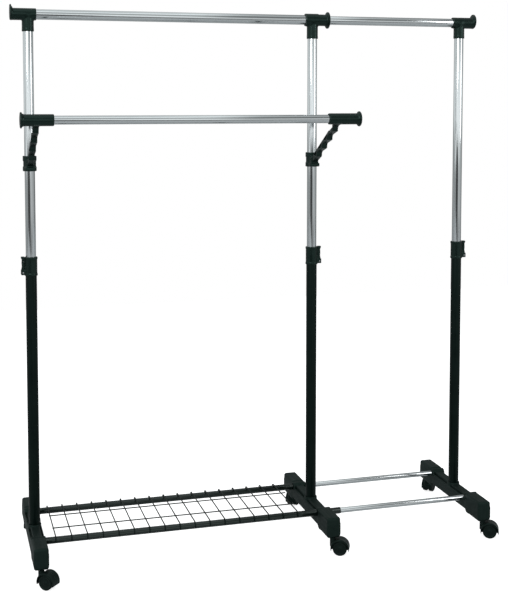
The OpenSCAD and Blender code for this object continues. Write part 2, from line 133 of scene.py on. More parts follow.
def polygon_distance(points, u, v):
    """Signed distance to a closed outline in the plane of u and v, negative inside."""
    u, v = np.broadcast_arrays(u, v)
    best = np.full(u.shape, 1e9, dtype=np.float32)
    inside = np.zeros(u.shape, dtype=bool)
    for (ax, ay), (bx, by) in zip(points, np.roll(points, -1, axis=0)):
        ex, ey = bx - ax, by - ay
        wx, wy = u - ax, v - ay
        t = np.clip((wx * ex + wy * ey) / (ex * ex + ey * ey + 1e-12), 0, 1)
        best = np.minimum(best, (wx - t * ex) ** 2 + (wy - t * ey) ** 2)
        if ay != by:
            crossing = (ay > v) != (by > v)
            inside ^= crossing & (u < (bx - ax) * (v - ay) / (by - ay) + ax)
    return np.where(inside, -1, 1) * np.sqrt(best)


def join(a, b, k=0.8):
    """Union with a fillet of about k."""
    h = np.maximum(k - np.abs(a - b), 0) / k
    return np.minimum(a, b) - h * h * k / 4


def cut(a, b, k=0.6):
    """a without b, with the cut's edge eased by about k."""
    h = np.maximum(k - np.abs(a + b), 0) / k
    return np.maximum(a, -b) + h * h * k / 4


# ---------------------------------------------------------------- meshes

def smooth_mesh(name, verts, faces):
    mesh = bpy.data.meshes.new(name)
    mesh.from_pydata([tuple(v) for v in verts], [], faces)
    mesh.update()
    mesh.polygons.foreach_set("use_smooth", [True] * len(mesh.polygons))
    return mesh


def turned(name, profile, steps=72):
    """A closed profile of (radius, height) points in millimetres, turned about Z."""
    verts, faces, rings = [], [], []
    for k in range(steps):
        a = 2 * math.pi * k / steps
        rings.append([len(verts) + i for i in range(len(profile))])
        verts += [(r * math.cos(a) * MM, r * math.sin(a) * MM, z * MM) for r, z in profile]
    n = len(profile)
    for k in range(steps):
        a, b = rings[k], rings[(k + 1) % steps]
        faces += [(a[i], b[i], b[(i + 1) % n], a[(i + 1) % n]) for i in range(n)]
    mesh = smooth_mesh(name, verts, faces)
    weld(mesh)
    return mesh


def weld(mesh, distance=1e-6):
    bm = bmesh.new()
    bm.from_mesh(mesh)
    bmesh.ops.remove_doubles(bm, verts=bm.verts, dist=distance)
    bmesh.ops.dissolve_degenerate(bm, edges=bm.edges, dist=distance)
    bmesh.ops.recalc_face_normals(bm, faces=bm.faces)
    bm.to_mesh(mesh)
    bm.free()


def sharp_by_angle(mesh, degrees=38):
    mesh.set_sharp_from_angle(angle=math.radians(degrees))


def rounded(points, r, arc=4):
    """Replaces each corner of a closed profile with a short arc of radius r."""
    out = []
    n = len(points)
    for i in range(n):
        p, a, b = (np.array(points[j % n], float) for j in (i, i - 1, i + 1))
        da, db = a - p, b - p
        la, lb = np.linalg.norm(da), np.linalg.norm(db)
        reach = min(r, la / 2.05, lb / 2.05)
        start, end = p + da / la * reach, p + db / lb * reach
        for s in range(arc + 1):
            t = s / arc
            out.append(tuple((1 - t) ** 2 * start + 2 * t * (1 - t) * p + t * t * end))
    return out


def add(name, mesh, body, nodes, material, place=None):
    """Puts a mesh in the scene as a piece that rides on a body and stands for CAD nodes."""
    if place is not None:
        mesh.transform(place)
    piece = bpy.data.objects.new(name, mesh)
    bpy.context.scene.collection.objects.link(piece)
    mesh.materials.clear()
    mesh.materials.append(material)
    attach(piece, body)
    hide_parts(*nodes)
    return piece


def moved(x, y, z, turn=0.0, axis="Z"):
    """A placement in millimetres, turned in degrees about an axis."""
    return Matrix.Translation(Vector((x, y, z)) * MM) @ Matrix.Rotation(math.radians(turn), 4, axis)


# ---------------------------------------------------------------- materials

class Shader:
    """A material under construction: one Principled shader and small helpers for its nodes."""

    def __init__(self, name):
        self.material = bpy.data.materials.new(name)
        self.material.use_nodes = True
        self.tree = self.material.node_tree
        self.nodes, self.links = self.tree.nodes, self.tree.links
        self.shader = self.nodes["Principled BSDF"]
        self.place = self.nodes.new("ShaderNodeTexCoord").outputs["Object"]

    def set(self, **values):
        for name, value in values.items():
            self.shader.inputs[name.replace("_", " ")].default_value = value

    def noise(self, scale, detail=3.0, roughness=0.5, stretch=None):
        node = self.nodes.new("ShaderNodeTexNoise")
        node.inputs["Scale"].default_value = scale
        node.inputs["Detail"].default_value = detail
        node.inputs["Roughness"].default_value = roughness
        where = self.place
        if stretch is not None:
            mapping = self.nodes.new("ShaderNodeMapping")
            mapping.inputs["Scale"].default_value = stretch
            self.links.new(where, mapping.inputs["Vector"])
            where = mapping.outputs["Vector"]
        self.links.new(where, node.inputs["Vector"])
        return node.outputs["Fac"]

    def ramp(self, value, stops):
        """A colour ramp; stops are (position, grey or colour)."""
        node = self.nodes.new("ShaderNodeValToRGB")
        ramp = node.color_ramp
        while len(ramp.elements) < len(stops):
            ramp.elements.new(0.5)
        for element, (position, colour) in zip(ramp.elements, stops):
            element.position = position
            if not isinstance(colour, tuple):
                colour = (colour, colour, colour)
            element.color = (*colour, 1.0)
        self.links.new(value, node.inputs["Fac"])
        return node.outputs["Color"]

    def mix(self, factor, a, b):
        node = self.nodes.new("ShaderNodeMix")
        node.data_type = "RGBA"
        colour_in = [s for s in node.inputs if s.type == "RGBA"]
        factor_in = [s for s in node.inputs if s.type == "VALUE" and s.name == "Factor"][0]
        for socket, value in ((factor_in, factor), (colour_in[0], a), (colour_in[1], b)):
            if hasattr(value, "links"):
                self.links.new(value, socket)
            else:
                socket.default_value = value
        return [s for s in node.outputs if s.type == "RGBA"][0]

    def edges(self, low=0.52, high=0.62):
        """White where the surface bends outwards, as along a worn edge."""
        geometry = self.nodes.new("ShaderNodeNewGeometry")
        return self.ramp(geometry.outputs["Pointiness"], [(low, 0.0), (high, 1.0)])

    def colour(self, socket):
        self.links.new(socket, self.shader.inputs["Base Color"])

    def roughness(self, socket):
        self.links.new(socket, self.shader.inputs["Roughness"])

    def bump(self, heights):
        """Stacks bumps; heights are (socket, strength, distance in metres)."""
        last = None
        for socket, strength, distance in heights:
            node = self.nodes.new("ShaderNodeBump")
            node.inputs["Strength"].default_value = strength
            node.inputs["Distance"].default_value = distance
            self.links.new(socket, node.inputs["Height"])
            if last is not None:
                self.links.new(last, node.inputs["Normal"])
            last = node.outputs["Normal"]
        self.links.new(last, self.shader.inputs["Normal"])


def chrome(name, along):
    """Bright plated tube: faint drawn lines along it, a few cloudy patches and fine rubs."""
    s = Shader(name)
    drawn = {"x": (0.6, 90, 90), "z": (90, 90, 0.6)}[along]
    lines = s.noise(9, 2, 0.5, drawn)
    cloud = s.noise(7, 4, 0.55)
    rubs = s.noise(260, 5, 0.7)
    s.set(Metallic=1.0)
    s.colour(s.ramp(cloud, [(0.30, (0.81, 0.85, 0.87)), (0.72, (0.88, 0.915, 0.93))]))
    worn = s.ramp(rubs, [(0.45, 0.09), (0.80, 0.15)])
    s.roughness(s.mix(lines, worn, (0.12, 0.12, 0.12, 1)))
    s.bump([(rubs, 0.006, 0.00003)])
    return s.material


def powder_coat(name, dark, light, rough=0.34, gloss=0.2, coat=0.0):
    """Stove-enamelled black tube: orange peel, a little dust and scuffs."""
    s = Shader(name)
    peel = s.noise(750, 2, 0.45)
    tone = s.noise(16, 4, 0.6)
    scuff = s.noise(95, 6, 0.75, (1, 1, 0.35))
    scuffs = s.ramp(scuff, [(0.66, 0.0), (0.74, 0.55)])
    base = s.ramp(tone, [(0.28, dark), (0.75, light)])
    rubbed = tuple(min(1.0, 2.1 * c + 0.012) for c in light)
    s.colour(s.mix(scuffs, base, (*rubbed, 1)))
    s.roughness(s.ramp(tone, [(0.25, rough - 0.05), (0.80, rough + 0.11)]))
    s.set(Specular_IOR_Level=gloss, Specular_Tint=(0.66, 1.0, 0.90, 1), Coat_Weight=coat, Coat_Roughness=0.10)
    s.bump([(peel, 0.12, 0.0003), (scuff, 0.04, 0.0002)])
    return s.material


def moulded(name, dark, light, rough, grain=2600, edge=0.5, gloss=0.22):
    """Moulded black plastic: fine spark-eroded grain, slow tone shifts and paler rubbed edges."""
    s = Shader(name)
    tone = s.noise(22, 4, 0.6)
    flow = s.noise(55, 3, 0.5, (1, 0.25, 1))
    texture = s.noise(grain, 2, 0.6)
    base = s.ramp(tone, [(0.25, dark), (0.78, light)])
    rubbed = tuple(min(1.0, 1.9 * c + 0.02) for c in light)
    wear = s.nodes.new("ShaderNodeMath")
    wear.operation = "MULTIPLY"
    patches = s.ramp(s.noise(130, 5, 0.7), [(0.42, 0.0), (0.70, edge)])
    s.links.new(s.edges(), wear.inputs[0])
    s.links.new(patches, wear.inputs[1])
    s.colour(s.mix(wear.outputs["Value"], base, (*rubbed, 1)))
    s.roughness(s.ramp(flow, [(0.25, rough - 0.06), (0.80, rough + 0.10)]))
    s.set(Specular_IOR_Level=gloss, Specular_Tint=(0.60, 1.0, 0.88, 1))
    s.bump([(texture, 0.16, 0.00025), (flow, 0.04, 0.0003)])
    return s.material


def zinc(name):
    """Zinc-plated steel of the screws and pins."""
    s = Shader(name)
    spangle = s.noise(420, 4, 0.6)
    s.set(Metallic=1.0)
    s.colour(s.ramp(spangle, [(0.3, (0.46, 0.47, 0.48)), (0.7, (0.66, 0.67, 0.69))]))
    s.roughness(s.ramp(spangle, [(0.3, 0.26), (0.7, 0.42)]))
    s.bump([(spangle, 0.08, 0.0001)])
    return s.material


CHROME_POST = chrome("chrome_upright", "z")
CHROME_RAIL = chrome("chrome_rail", "x")
COATED = powder_coat("black_coated_tube", (0.0018, 0.0050, 0.0043), (0.0038, 0.0085, 0.0074), 0.30, 0.16)
COATED_RAIL = powder_coat("black_coated_rail", (0.0018, 0.0046, 0.0040), (0.0038, 0.0080, 0.0070), 0.16, 0.30,
                          0.85)
COATED_WIRE = powder_coat("black_coated_wire", (0.0022, 0.0045, 0.0040), (0.0050, 0.0085, 0.0076), 0.38)
FOOT = moulded("foot_plastic", (0.0048, 0.0100, 0.0088), (0.0105, 0.0175, 0.0160), 0.50, 1900, 0.6)
FITTING = moulded("fitting_plastic", (0.0026, 0.0070, 0.0060), (0.0056, 0.0118, 0.0104), 0.27, gloss=0.42)
HOOD = moulded("hood_plastic", (0.0040, 0.0072, 0.0066), (0.0088, 0.0130, 0.0120), 0.30)
WHEEL = moulded("wheel_plastic", (0.0034, 0.0058, 0.0054), (0.0072, 0.0102, 0.0096), 0.42)
ZINC = zinc("zinc_steel")


# ---------------------------------------------------------------- tubes

def tube_profile(length, outer, inner, ease=0.35):
    """The wall of a cut tube, with eased ends."""
    ends = [(inner, 0), (outer, 0), (outer, length), (inner, length)]
    return rounded(ends, ease, 2)


def tube(node, along, material, body, steps=96):
    """A tube where the CAD tube lies, with its ends deburred."""
    low, high = low_high(node)
    axis = 2 if along == "z" else 0
    outer = (high[1] - low[1]) / 2
    length = high[axis] - low[axis]
    mesh = turned(node, tube_profile(length, outer, outer - 1.0), steps)
    sharp_by_angle(mesh)
    centre = (low + high) / 2
    if along == "z":
        place = moved(centre[0], centre[1], low[2])
    else:
        place = moved(low[0], centre[1], centre[2], 90, "Y")
    return add(node + "_tube", mesh, body, [node], material, place)


def tubes():
    for side in SIDES:
        top = "extension_top" if side == "right" else "top_frame"
        tube(side + "_upper_post", "z", CHROME_POST, top)
        lower_post(side)
    tube("top_rail", "x", CHROME_RAIL, "top_frame")
    tube("top_extension_rail", "x", CHROME_RAIL, "extension_top")
    tube("front_rail", "x", CHROME_RAIL, "front_bar")
    for end in ENDS:
        tube(end + "_bottom_rail", "x", COATED_RAIL, "base", 64)
        tube(end + "_bottom_extension", "x", CHROME_RAIL, "extension_base", 64)


def lower_post(side):
    """A black lower post with its base plate inside the foot."""
    node = side + "_lower_post"
    low, high = low_high(node)
    outer = (high[0] - low[0]) / 2
    length = high[2] - low[2]
    wall = rounded([(3.0, 0), (outer, 0), (outer, length), (outer - 1.0, length), (outer - 1.0, 7.0),
                    (3.0, 7.0)], 0.35, 2)
    mesh = turned(node, wall, 96)
    sharp_by_angle(mesh)
    centre = POST[side]
    add(node + "_tube", mesh, FOOT_BODY[side], [node], COATED,
        moved(centre[0], centre[1], low[2]))


# ---------------------------------------------------------------- feet

def foot_distance(f, length):
    """The moulded foot, its post at x = y = 0."""
    end = length / 2
    w = 20.5
    body = f.box((-w, -end + 1, 60), (w, end - 1, 95), 3.0)
    crown = f.box((-13, -122, 88), (13, 122, 102), 2.6)
    body = join(body, crown, 1.5)
    for s in (-1, 1):
        block = f.box((-w, min(s * 126, s * end), 51), (w, max(s * 126, s * end), 111), 7.0)
        heel = f.rod("x", (s * 140, 71), 20.0, -w, w, 4.0)
        body = join(join(body, block, 3.0), heel, 2.0)
        hump = f.rod("x", (s * 120, 96), 13.5, -w, w, 1.6)
        body = join(body, hump, 2.4)
        ridge = f.box((-5.5, min(s * 134, s * 206), 106), (5.5, max(s * 134, s * 206), 111.4), 0.6)
        body = join(body, ridge, 1.0)
    for side in (-1, 1):
        groove = f.box((side * 15.0 - 1.7, -108, 91.5), (side * 15.0 + 1.7, 108, 120), 0.9)
        body = cut(body, groove, 0.9)
        body = cut(body, f.box((side * 15.0 - 1.2, -24, 88), (side * 15.0 + 1.2, 24, 96), 0.9), 0.6)
    ring = f.rod("z", (0, 0), 19.3, 90, 105, 1.4)
    body = join(body, ring, 2.0)
    body = join(body, f.rod("z", (14.5, 24.5), 5.0, 92, 104, 1.2), 1.6)
    body = cut(body, f.rod("z", (14.5, 24.5), 2.2, 101.5, 110, 0.4), 0.6)
    return body


def foot_hollows(f, body, rail_r, rail_from, rail_to):
    for s in (-1, 1):
        for low, high in ((24, 101), (139, 175)):
            a, b = sorted((s * low, s * high))
            for x0, x1 in ((-17, -1.2), (1.2, 17)):
                body = cut(body, f.box((x0, a, 40), (x1, b, 88.5), 1.2), 0.8)
        body = cut(body, f.rod("x", (s * 120, 96), rail_r + 0.25, rail_from, rail_to, 0.3), 0.8)
        body = cut(body, f.rod("z", (0, s * 203), 4.3, 40, 89, 0.3), 0.8)
    body = cut(body, f.rod("z", (0, 0), 16.2, 66, 120, 0.3), 0.8)
    return cut(body, f.rod("z", (0, 0), 7.2, 40, 62, 0.3), 0.8)


def feet():
    low, high = low_high("left_foot")
    length = high[1] - low[1]
    reach = (high[0] - low[0]) / 2
    bores = {"left": (9.5, -10, 60), "middle": (9.5, -60, 60), "right": (8.0, -60, 12)}
    f = Field((-reach, -length / 2, 48), (reach, length / 2, 113), 1.0)
    solid = foot_distance(f, length)
    for side in SIDES:
        body = foot_hollows(f, solid, *bores[side])
        mesh = f.mesh(side + "_foot", body, 0.004)
        add(side + "_foot_moulding", mesh, FOOT_BODY[side], [side + "_foot"], FOOT,
            moved(POST[side][0], POST_Y, 0))


# ---------------------------------------------------------------- clamp collars and levers

def mirrored(mesh):
    """The same mesh with left and right swapped."""
    other = mesh.copy()
    other.transform(Matrix.Scale(-1, 4, Vector((1, 0, 0))))
    other.flip_normals()
    return other


def clamp_collar_mesh():
    """A collar about the Z axis from z = 0, with its lever ears towards +X."""
    f = Field((-19, -19, 0), (29, 19, 54), 0.5)
    body = f.rod("z", (0, 0), 17.6, 0.5, 53.5, 0.8)
    body = join(body, f.rod("z", (0, 0), 18.5, 0, 6.6, 1.3), 1.2)
    body = join(body, f.rod("z", (0, 0), 18.5, 47.2, 54, 1.3), 1.2)
    body = join(body, f.box((8, -5.4, 20), (21.2, 5.4, 53), 1.2), 2.0)
    body = join(body, f.box((8, -6.4, 16), (18.8, 6.4, 53), 0.8), 0.8)
    body = join(body, f.box((8, -6.4, 2), (17.8, 6.4, 18), 0.8), 0.8)
    for s in (-1, 1):
        y0, y1 = sorted((s * 6.95, s * 10.35))
        ear = f.box((9, y0, 3), (28.4, y1, 17), 1.0)
        gusset = f.plate("y", [(10, 16), (19.8, 16), (17.2, 27), (10, 30)], y0 + 0.3, y1 - 0.3, 0.6)
        body = join(body, join(ear, gusset, 1.0), 1.4)
    body = cut(body, f.box((18.7, -6.9, -2), (40, 6.9, 56), 0.3), 0.5)
    body = join(body, f.box((9, -5.5, 40.4), (21.5, 5.5, 45.6), 0.6), 0.5)
    body = cut(body, f.box((6, -1.2, 22), (40, 1.2, 60), 0.4), 0.5)
    body = cut(body, f.rod("z", (0, 0), 16.1, -4, 42, 0.2), 0.6)
    body = cut(body, f.rod("z", (0, 0), 14.6, 20, 60, 0.2), 0.7)
    body = cut(body, f.rod("y", (23, 10), 2.1, -20, 20, 0.2), 0.5)
    return f.mesh("clamp_collar", body, 0.004)


def clamp_lever_mesh():
    """A lever towards +X of a collar: hub, dished face with a channel, and a finger tab."""
    f = Field((18, -7, 4), (29, 7, 56), 0.4)
    outline = [(18.95, 10), (18.95, 39), (22.1, 40), (22.1, 46), (18.95, 47), (18.95, 55), (28.5, 55),
               (28.5, 51), (26.0, 46.5), (28, 10)]
    body = f.plate("y", outline, -6.5, 6.5, 0.9)
    body = cut(body, f.rod("y", (48, 27.5), 22.0, -9, 9, 0.5), 1.0)
    body = join(body, f.rod("y", (23, 10), 5, -6.5, 6.5, 0.9), 1.0)
    channel = np.maximum(f.rod("y", (48, 27.5), 23.4, -4.4, 4.4, 0.6), 17.5 - f.z)
    body = cut(body, channel, 0.7)
    for z in (48.2, 50.6, 53.0):
        body = cut(body, f.rod("y", (29.0, z), 0.9, -9, 9, 0.2), 0.5)
    body = cut(body, f.rod("y", (23, 10), 2.1, -9, 9, 0.2), 0.4)
    return f.mesh("clamp_lever", body, 0.004)


def clamps():
    bottom = low_high("left_clamp_collar")[0][2]
    collar, lever = clamp_collar_mesh(), clamp_lever_mesh()
    for side in SIDES:
        body = FOOT_BODY[side]
        turn = (lambda m: m.copy()) if LEVER_SIDE[side] > 0 else mirrored
        place = moved(POST[side][0], POST_Y, bottom)
        add(side + "_clamp_collar_moulding", turn(collar), body, [side + "_clamp_collar"],
            FITTING, place)
        add(side + "_clamp_lever_moulding", turn(lever), side + "_lever", [side + "_clamp_lever"],
            FITTING, place)


# ---------------------------------------------------------------- tees and the extension bush

def tee_mesh(out, rail_r):
    """A tee about its rail's axis; its closed, lipped end faces out along X."""
    f = Field((-51 if out < 0 else -24, -22, -48), (24 if out < 0 else 51, 22, 28), 0.6)

    def span(a, b):
        return (a, b) if out > 0 else (-b, -a)

    body = f.rod("x", (0, 0), 17.0, *span(-23, 48), 0.9)
    lip = f.rod("x", (0, 5.5), 22.0, *span(45.6, 50), 1.5)
    throat = f.rod("x", (0, 3.0), 18.6, *span(42.5, 47), 1.5)
    body = join(join(body, throat, 3.0), lip, 2.2)
    branch = f.rod("z", (0, 0), 16.8, -48, 0, 0.9)
    branch = join(branch, f.rod("z", (0, 0), 17.0, -48, -40, 1.0), 0.5)
    body = join(body, branch, 3.5)
    body = cut(body, f.rod("x", (0, 0), rail_r + 0.05, *span(-40, 38), 0.2), 0.8)
    body = cut(body, f.rod("z", (0, 0), 14.55, -70, -16.5, 0.2), 0.8)
    body = cut(body, f.rod("y", (0, -30), 3.6, 14.5, 30, 0.3), 0.8)
    return f.mesh("tee", body, 0.004)


def middle_tee_mesh():
    f = Field((-24, -20, -56), (19, 20, 20), 0.6)
    body = f.rod("x", (0, 0), 19.0, -23, 18, 1.1)
    branch = f.rod("z", (0, 0), 16.8, -56, 0, 0.9)
    branch = join(branch, f.rod("z", (0, 0), 17.0, -56, -48, 1.0), 0.5)
    body = join(body, branch, 3.5)
    body = cut(body, f.rod("x", (0, 0), 14.55, -60, 60, 0.2), 0.8)
    body = cut(body, f.rod("z", (0, 0), 14.55, -80, -16.5, 0.2), 0.8)
    body = cut(body, f.rod("y", (0, -36), 3.6, 14.5, 30, 0.3), 0.8)
    return f.mesh("middle_tee", body, 0.004)


def tees():
    rail_z = middle_of("top_rail")[2]
    for side, out, node in (("left", -1, "top_rail"), ("right", 1, "top_extension_rail")):
        low, high = low_high(node)
        mesh = tee_mesh(out, (high[1] - low[1]) / 2)
        body = "top_frame" if side == "left" else "extension_top"
        add(side + "_tee_moulding", mesh, body, [side + "_tee"], FITTING,
            moved(POST[side][0], POST_Y, rail_z))
    add("middle_tee_moulding", middle_tee_mesh(), "top_frame", ["middle_tee"], FITTING,
        moved(POST["middle"][0], POST_Y, rail_z))
    low, high = low_high("extension_bush")
    length = high[0] - low[0]
    bore = 13.1
    profile = [(bore, 0), (17.4, 0), (17.4, length - 10), (18.4, length - 7.5), (21.5, length - 5),
               (24.9, length - 3.6), (25.0, length), (22.4, length), (21.6, length - 0.8),
               (bore + 2.4, length - 0.8), (bore, length - 2.4)]
    mesh = turned("extension_bush", rounded(profile, 0.9, 4), 96)
    sharp_by_angle(mesh, 50)
    add("extension_bush_moulding", mesh, "top_frame", ["extension_bush"], FITTING,
        moved(low[0], POST_Y, rail_z, 90, "Y"))


# ---------------------------------------------------------------- front rail brackets

REACH = POST_Y - middle_of("front_rail")[1]
GRIP_Z = middle_of("front_rail")[2]


def bracket_mesh(side, bottom):
    """A bracket with its collar about the Z axis from z = 0 and its arm towards -Y."""
    start, end = (-42, 47) if side == "left" else (-27, 68)
    grip_z = GRIP_Z - bottom
    f = Field((start, -REACH - 22, 0), (end, 20, grip_z + 22), 0.8)
    base_z, slope = 24.0, 0.567
    teeth, first_tooth, tooth_pitch, rib = 4, 70, 46, 3.2

    def upper(u):
        return base_z + slope * (u - 10)

    outline = [(-10, base_z), (-10, 8)]
    for k in range(teeth):
        u = first_tooth + tooth_pitch * k
        outline += [(-u, upper(u) - 24), (-u - 0.7, upper(u) - 17), (-u - 3, upper(u) - 12),
                    (-u - 8, upper(u) - 8.5)]
    outline += [(-REACH - 13, grip_z - 12), (-REACH, grip_z), (-REACH + 13, grip_z - 12)]
    arm = f.plate("x", outline, -8.5, 8.5, 1.2)
    for k in range(-1, teeth):
        u0 = first_tooth + tooth_pitch * k + 11 if k >= 0 else 42
        u1 = min(first_tooth + tooth_pitch * (k + 1) - 4.5, 214)
        deep = 20.5 if k < teeth - 1 else 9
        pocket = [(-u0, upper(u0) - rib), (-u0, upper(u0) - 5.6), (-u1, upper(u1) - deep), (-u1, upper(u1) - rib)]
        for s in (-1, 1):
            x0, x1 = sorted((s * 4.0, s * 12))
            arm = cut(arm, f.plate("x", pocket, x0, x1, 0.5), 0.9)
    collar = f.rod("z", (0, 0), 18.0, 0, 43, 1.0)
    collar = join(collar, f.rod("z", (0, 0), 19.5, 0, 13, 1.6), 1.4)
    collar = join(collar, f.rod("z", (0, 0), 19.5, 29, 43, 1.6), 1.4)
    collar = join(collar, f.box((-15, -30, 1), (15, 0, 12), 2.6), 1.6)
    collar = join(collar, f.box((-12, -28, 2), (12, 0, 32), 2.6), 1.6)
    body = join(collar, arm, 2.0)
    grip = f.rod("x", (-REACH, grip_z), 16.0, start, end, 2.2)
    lip = (start, start + 5) if side == "left" else (end - 5, end)
    flare = (start + 2, start + 8) if side == "left" else (end - 8, end - 2)
    grip = join(grip, f.rod("x", (-REACH, grip_z), 17.2, *flare, 1.0), 3.0)
    grip = join(grip, f.rod("x", (-REACH, grip_z), 21.75, *lip, 2.1), 2.4)
    body = join(body, grip, 2.5)
    body = cut(body, f.rod("z", (0, 0), 14.6, -10, 60, 0.2), 0.9)
    bore = (start + 12, end + 10) if side == "left" else (start - 10, end - 12)
    body = cut(body, f.rod("x", (-REACH, grip_z), 12.05, *bore, 0.2), 0.9)
    body = cut(body, f.rod("x", (-20, 22), 4.5, 9, 30, 0.2), 0.7)
    body = cut(body, f.rod("x", (-20, 22), 2.1, -12, 30, 0.2), 0.5)
    return f.mesh(side + "_bracket", body, 0.004)


def brackets():
    bottom = low_high("left_bracket")[0][2]
    for side in ("left", "middle"):
        add(side + "_bracket_moulding", bracket_mesh(side, bottom), "front_bar", [side + "_bracket"],
            FITTING, moved(POST[side][0], POST_Y, bottom))


# ---------------------------------------------------------------- wire shelf

def wire(verts, faces, path, radius, sides=10):
    """Adds a round wire along a smooth path of millimetre points, with flat eased ends."""
    path = [Vector(p) for p in path]
    normal = Vector((1, 0, 0)) if abs((path[1] - path[0]).x) < 0.5 else Vector((0, 0, 1))
    rings = []
    last = len(path) - 1
    stations = [(0, 0.55), (0, 1.0)] + [(i, 1.0) for i in range(1, last)] + [(last, 1.0), (last, 0.55)]
    for n, (i, size) in enumerate(stations):
        along = (path[min(i + 1, last)] - path[max(i - 1, 0)]).normalized()
        across = (normal - along * normal.dot(along)).normalized()
        other = along.cross(across)
        centre = path[i]
        if n == 1:
            centre = centre + along * radius * 0.4
        if n == len(stations) - 2:
            centre = centre - along * radius * 0.4
        rings.append(len(verts))
        for k in range(sides):
            a = 2 * math.pi * k / sides
            verts.append((centre + (across * math.cos(a) + other * math.sin(a)) * radius * size) * MM)
    for a, b in zip(rings, rings[1:]):
        faces += [(a + k, a + (k + 1) % sides, b + (k + 1) % sides, b + k) for k in range(sides)]
    faces.append(tuple(rings[0] + k for k in reversed(range(sides))))
    faces.append(tuple(rings[-1] + k for k in range(sides)))


def bend(centre, radius, start, end, steps):
    """Points (y, z) on an arc, angles in degrees."""
    return [(centre[0] + radius * math.cos(math.radians(start + (end - start) * i / steps)),
             centre[1] + radius * math.sin(math.radians(start + (end - start) * i / steps)))
            for i in range(steps + 1)]


def shelf():
    low, high = low_high("wire_shelf")
    r, pitch, count = 1.8, 44.7, 17
    rail_y, rail_z = (middle_of("back_bottom_rail")[k] for k in (1, 2))
    reach = rail_y - POST_Y
    hook = 9.5 + r
    centre = rail_z + 0.08
    plane, leg = centre + hook, 4
    first = low[0] + 2
    overhang = 5

    def end_bend(y):
        return bend((y, centre), hook, 90, 0, 10) + [(y + hook, centre - leg)]

    path = [(-y, z) for y, z in reversed(end_bend(reach))] + end_bend(reach + overhang)
    verts, faces = [], []
    for i in range(count):
        x = first + i * pitch
        wire(verts, faces, [(x, POST_Y + y, z) for y, z in path], r)
    for y in (-50, 50):
        z = plane - 2 * r + 0.3
        wire(verts, faces, [(low[0], POST_Y + y, z), (first + (count - 1) * pitch / 2, POST_Y + y, z),
                            (high[0], POST_Y + y, z)], r)
    mesh = smooth_mesh("wire_shelf", verts, faces)
    sharp_by_angle(mesh, 50)
    add("wire_shelf_wires", mesh, "base", ["wire_shelf"], COATED_WIRE)


# ---------------------------------------------------------------- casters

TRAIL, AXLE_Z = 22.0, 21.0


def housing_mesh():
    """A caster housing about its stem's axis, with its wheels towards +X."""
    f = Field((-9, -18, 13), (50, 18, 51), 0.5)
    web, room = 3.5, 21.7
    shell = f.rod("y", (TRAIL, AXLE_Z), 27.5, -17.5, 17.5, 2.2)
    hood = cut(shell, f.rod("y", (TRAIL, AXLE_Z - 3.4), 25.2, web, 30, 0.3), 0.6)
    hood = cut(hood, f.rod("y", (TRAIL, AXLE_Z - 3.4), 25.2, -30, -web, 0.3), 0.6)
    hood = np.maximum(hood, shell)
    wheel_room = np.minimum(f.rod("y", (TRAIL, AXLE_Z), room, web, 40, 0.3),
                            f.rod("y", (TRAIL, AXLE_Z), room, -40, -web, 0.3))
    neck = cut(f.rod("z", (0, 0), 8.5, AXLE_Z + 2, 50, 1.0), wheel_room, 0.5)
    body = join(hood, neck, 1.6)
    body = cut(body, wheel_room, 0.4)
    keel = f.rod("y", (TRAIL, AXLE_Z), 9.0, -web, web, 0.6)
    body = join(body, keel, 1.0)
    body = cut(body, f.box((-60, -60, -40), (100, 60, AXLE_Z - 7), 0.2), 0.6)
    seam = f.rod("y", (TRAIL, AXLE_Z), 40, -0.45, 0.45, 0.2)
    groove = np.maximum(seam, 26.9 - np.sqrt((f.x - TRAIL) ** 2 + (f.z - AXLE_Z) ** 2))
    body = cut(body, groove, 0.4)
    body = cut(body, f.rod("z", (0, 0), 4.0, 27, 80, 0.2), 0.5)
    body = cut(body, f.rod("y", (TRAIL, AXLE_Z), 2.55, -40, 40, 0.2), 0.4)
    return f.mesh("caster_housing", body, 0.004)


def wheel_pair_mesh():
    """Two wheels about the Y axis at x = y = z = 0."""
    profile = [(0, 11.6), (2.6, 11.6), (2.6, 0), (12.0, 0), (12.8, 1.4), (17.8, 1.4), (18.6, 0), (19.6, 0),
               (21, 1.4), (21, 4.2), (20.7, 4.6), (21, 5.0), (21, 8.0), (20.7, 8.4), (21, 8.8), (21, 11.2),
               (19.4, 13), (16.0, 13), (15.0, 11.9), (13.4, 11.5), (6.4, 12.0), (5.6, 12.5), (5.0, 12.9), (0, 13.0)]
    eased = [(0, 11.6)] + rounded(profile, 0.45, 3)[4:-4] + [(0, 13.0)]
    wheel = turned("caster_wheel", eased, 80)
    verts = [v.co.copy() for v in wheel.vertices]
    faces = [tuple(p.vertices) for p in wheel.polygons]
    gap = 3.9 * MM
    both, polygons = [], []
    for s in (1, -1):
        start = len(both)
        both += [(v.x, s * (v.z + gap), v.y) for v in verts]
        polygons += [tuple(start + i for i in (face[::-1] if s > 0 else face)) for face in faces]
    mesh = smooth_mesh("caster_wheels", both, polygons)
    weld(mesh)
    sharp_by_angle(mesh, 34)
    return mesh


def casters():
    housing, wheels = housing_mesh(), wheel_pair_mesh()
    for side in SIDES:
        for end in ENDS:
            name = side + "_" + end + "_caster"
            stem, axle = stem_and_trail(name)
            place = moved(stem[0], stem[1], 0, math.degrees(math.atan2(axle[1], axle[0])))
            add(name + "_hood", housing.copy(), name, [name + "_housing"], HOOD, place)
            add(name + "_wheel_pair", wheels.copy(), side + "_" + end + "_wheels", [name + "_wheels"],
                WHEEL, place @ moved(TRAIL, 0, AXLE_Z))


